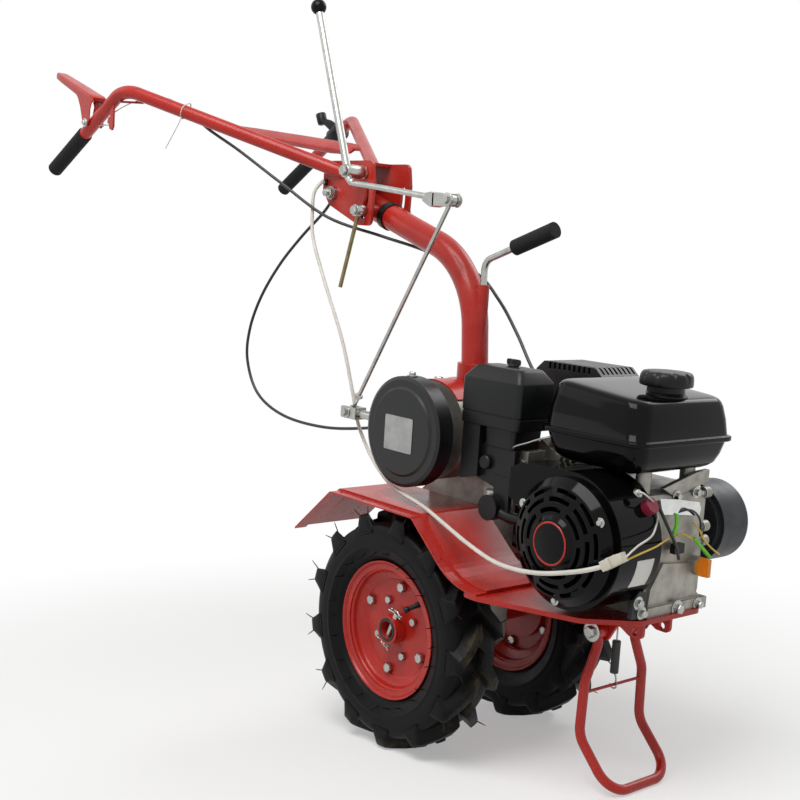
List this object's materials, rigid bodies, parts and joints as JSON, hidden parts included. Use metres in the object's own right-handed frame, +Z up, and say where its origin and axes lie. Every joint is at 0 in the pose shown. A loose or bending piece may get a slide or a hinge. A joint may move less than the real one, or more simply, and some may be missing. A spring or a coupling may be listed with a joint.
{
  "type": "walk-behind two-wheel tractor",
  "caption": "Walk-behind two-wheel tractor with lugged farm tyres, open petrol engine on a front bed, bent steering column with tilting handlebar, rod gear shift and folding front stand.",
  "frame": {"origin": "on the ground, under the middle of the machine's length and width, without its leads", "axes": "+X towards the engine and the front stand, +Y to the machine's left, +Z up"},
  "size_m": [1.5392, 0.65, 1.354],
  "materials": {
    "red_paint": "gloss red powder coat",
    "black_gloss_plastic": "gloss black",
    "black_matte_plastic": "moulded matte black",
    "black_painted_steel": "satin black paint",
    "cast_alloy": "die cast",
    "zinc_steel": "bright zinc plated",
    "black_foam": "foam rubber",
    "drum_steel": "dark phosphated",
    "orange_plastic": "gloss orange",
    "maroon_rubber": "moulded rubber",
    "spring_steel": "black sleeve",
    "tyre_rubber": "black rubber",
    "white_lead_plastic": "white sheath",
    "black_cable_sheath": "black sheath"
  },
  "bodies": {
    "chassis": {"engine_bed": "red_paint", "fender_right": "red_paint", "fender_left": "red_paint", "hitch": "red_paint", "column_bracket": "red_paint", "steering_column": "red_paint", "gearbox": "cast_alloy", "engine_block": "cast_alloy", "cylinder_head": "cast_alloy", "carburettor": "cast_alloy", "lock_handle": "zinc_steel", "tilt_bolt": "zinc_steel", "tilt_clamp": "zinc_steel", "shift_clevis": "zinc_steel", "fan_housing": "black_gloss_plastic", "recoil_cover": "black_gloss_plastic", "fuel_tank": "black_gloss_plastic", "air_filter": "black_matte_plastic", "control_panel": "black_matte_plastic", "fuel_cap": "black_matte_plastic", "column_ring": "black_matte_plastic", "pto_guard": "black_painted_steel", "muffler": "black_painted_steel", "lock_grip": "black_foam", "clutch_drum": "drum_steel", "oil_cap": "orange_plastic", "engine_switch": "maroon_rubber", "stand_spring": "spring_steel", "stop_lead": "white_lead_plastic", "lead_connector": "white_lead_plastic", "clutch_cable": "black_cable_sheath", "throttle_cable": "black_cable_sheath"},
    "wheel_right": {"tyre_right": "tyre_rubber", "rim_right": "red_paint", "hub_right": "red_paint"},
    "wheel_left": {"tyre_left": "tyre_rubber", "rim_left": "red_paint", "hub_left": "red_paint"},
    "handlebar": {"handlebar_bracket": "red_paint", "handle_tube_right": "red_paint", "handle_tube_left": "red_paint", "grip_right": "black_foam", "grip_left": "black_foam", "clutch_lever_right": "red_paint", "clutch_lever_left": "red_paint", "throttle_lever": "black_matte_plastic"},
    "gear_lever": {"gear_lever": "zinc_steel", "gear_knob": "black_gloss_plastic"},
    "gear_rod": {"gear_rod": "zinc_steel"},
    "stand": {"stand": "red_paint"}
  },
  "joints": [
    {"name": "wheel_right_spin", "type": "hinge", "parent": "chassis", "child": "wheel_right", "pos_m": [0.25517, -0.144, 0.206], "axis": [0, 1, 0], "continuous": true},
    {"name": "wheel_left_spin", "type": "hinge", "parent": "chassis", "child": "wheel_left", "pos_m": [0.25517, 0.144, 0.206], "axis": [0, 1, 0], "continuous": true},
    {"name": "stand_fold", "type": "hinge", "parent": "chassis", "child": "stand", "pos_m": [0.6162, 0, 0.25161], "axis": [0, 1, 0], "range_deg": [0, 85], "deforming": ["stand_spring"]},
    {"name": "handlebar_tilt", "type": "hinge", "parent": "chassis", "child": "handlebar", "pos_m": [-0.06618, 0, 0.99001], "axis": [0, 1, 0], "range_deg": [-4, 24], "deforming": ["stop_lead", "clutch_cable", "throttle_cable"]},
    {"name": "gear_lever_pivot", "type": "hinge", "parent": "handlebar", "child": "gear_lever", "pos_m": [0.03317, -0.09, 1.02002], "axis": [0, 1, 0], "range_deg": [-32, 6]},
    {"name": "gear_rod_pivot", "type": "hinge", "parent": "gear_lever", "child": "gear_rod", "pos_m": [0.32211, -0.09, 0.94298], "axis": [0, 1, 0], "range_deg": [-2, 9]}
  ],
  "couplings": [
    {"joint": "gear_lever_pivot", "follows": "handlebar_tilt", "ratio": -1.2718},
    {"joint": "gear_rod_pivot", "follows": "handlebar_tilt", "ratio": 0.3517}
  ]
}
